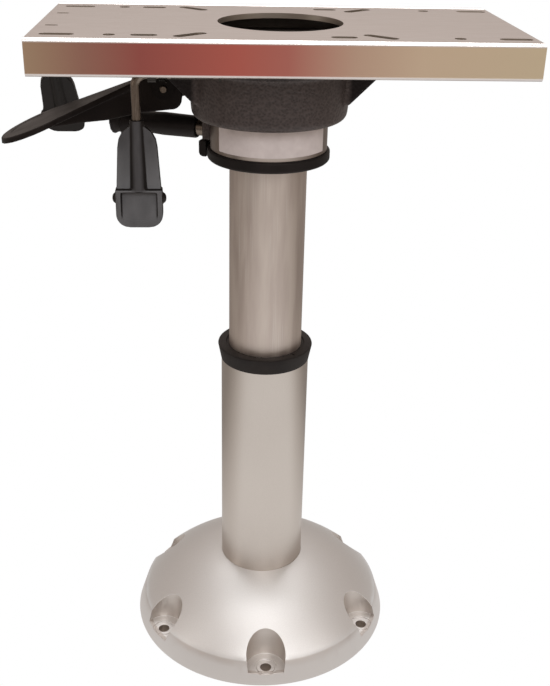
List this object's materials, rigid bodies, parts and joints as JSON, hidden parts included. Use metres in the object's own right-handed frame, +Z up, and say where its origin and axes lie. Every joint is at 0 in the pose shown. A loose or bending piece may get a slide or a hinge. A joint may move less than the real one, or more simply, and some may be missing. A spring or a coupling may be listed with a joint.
{
  "type": "boat seat pedestal",
  "caption": "Boat seat pedestal with a round floor base, a telescoping gas lift column, a locking swivel top and a fore and aft seat slide.",
  "frame": {"origin": "middle of the circle of floor screws, on the base's underside", "axes": "+Z up along the tubes, +X along the seat slide away from the long lever, +Y towards the side of the slanted handle"},
  "size_m": [0.38, 0.2478, 0.5308],
  "materials": {
    "base_alloy": "satin cast",
    "outer_tube_alloy": "satin anodised",
    "inner_tube_alloy": "satin anodised, worn",
    "neck_alloy": "satin",
    "carriage_alloy": "extruded",
    "plate_alloy": "anodised",
    "hammered_paint": "hammered",
    "bracket_paint": "satin",
    "cylinder_paint": "satin",
    "plated_steel": "plated",
    "rod_steel": "polished",
    "spring_steel": "bright",
    "bush_plastic": "moulded",
    "ring_plastic": "moulded",
    "slide_plastic": "moulded",
    "valve_plastic": "moulded",
    "lever_plastic": "moulded",
    "grip_plastic": "moulded",
    "pull_plastic": "moulded"
  },
  "bodies": {
    "base": {"base_casting": "base_alloy", "outer_tube": "outer_tube_alloy", "tube_bush": "bush_plastic", "spring_foot": "plated_steel", "gas_rod": "rod_steel", "rod_clip": "spring_steel"},
    "post": {"inner_tube": "inner_tube_alloy", "guide_ring": "bush_plastic", "index_collar": "plated_steel", "neck_ring": "ring_plastic", "post_cap": "plated_steel", "gas_cylinder": "cylinder_paint", "cylinder_clip": "spring_steel"},
    "valve": {"valve_button": "valve_plastic"},
    "top": {"neck_sleeve": "neck_alloy", "swivel_bush": "slide_plastic", "top_casting": "hammered_paint", "block_cap": "ring_plastic", "carriage": "carriage_alloy", "rod_blocks": "slide_plastic", "glide_front": "slide_plastic", "glide_rear": "slide_plastic", "casting_screws": "spring_steel", "lever_bracket": "bracket_paint", "bracket_rivets": "spring_steel", "lever_pin": "rod_steel", "lock_sleeve": "rod_steel", "lock_spring": "spring_steel", "front_lock_spring": "spring_steel", "rear_lock_spring": "spring_steel"},
    "seat_slide": {"seat_plate": "plate_alloy", "stop_pins": "spring_steel"},
    "lever": {"height_lever": "lever_plastic", "release_arm": "plated_steel"},
    "front_lock": {"front_rod": "rod_steel", "front_grip": "grip_plastic", "front_dog": "plated_steel", "front_push_nut": "spring_steel"},
    "rear_lock": {"rear_rod": "rod_steel", "rear_grip": "grip_plastic", "rear_dog": "plated_steel", "rear_push_nut": "spring_steel"},
    "swivel_lock": {"lock_pin": "rod_steel", "swivel_grip": "pull_plastic"}
  },
  "joints": [
    {"name": "height", "type": "slide", "parent": "base", "child": "post", "axis": [0, 0, 1], "range_m": [-0.15, 0]},
    {"name": "valve_press", "type": "slide", "parent": "post", "child": "valve", "axis": [0, 0, 1], "range_m": [-0.006, 0]},
    {"name": "swivel", "type": "hinge", "parent": "post", "child": "top", "pos_m": [0, 0, 0.447], "axis": [0, 0, 1], "continuous": true},
    {"name": "seat_travel", "type": "slide", "parent": "top", "child": "seat_slide", "axis": [1, 0, 0], "range_m": [-0.0665, 0.0475]},
    {"name": "lever_lift", "type": "hinge", "parent": "top", "child": "lever", "pos_m": [-0.079, 0, 0.4824], "axis": [0, 1, 0], "range_deg": [0, 4], "stiffness_Nm_per_rad": 20, "springref_deg": -2.86},
    {"name": "front_lock_turn", "type": "hinge", "parent": "top", "child": "front_lock", "pos_m": [-0.065, -0.062, 0.5035], "axis": [-1, 0, 0], "range_deg": [0, 20], "stiffness_Nm_per_rad": 0.8, "springref_deg": -17.19},
    {"name": "rear_lock_turn", "type": "hinge", "parent": "top", "child": "rear_lock", "pos_m": [-0.1, 0.062, 0.5035], "axis": [1, 0, 0], "range_deg": [0, 20], "stiffness_Nm_per_rad": 0.8, "springref_deg": -17.19},
    {"name": "swivel_lock_pull", "type": "slide", "parent": "top", "child": "swivel_lock", "axis": [-0.9272, 0.3746, 0], "range_m": [0, 0.007], "stiffness_N_per_m": 1500, "springref_m": -0.004, "deforming": ["lock_spring"]}
  ],
  "couplings": [
    {"joint": "valve_press", "follows": "lever_lift", "m_per_rad": -0.079}
  ]
}
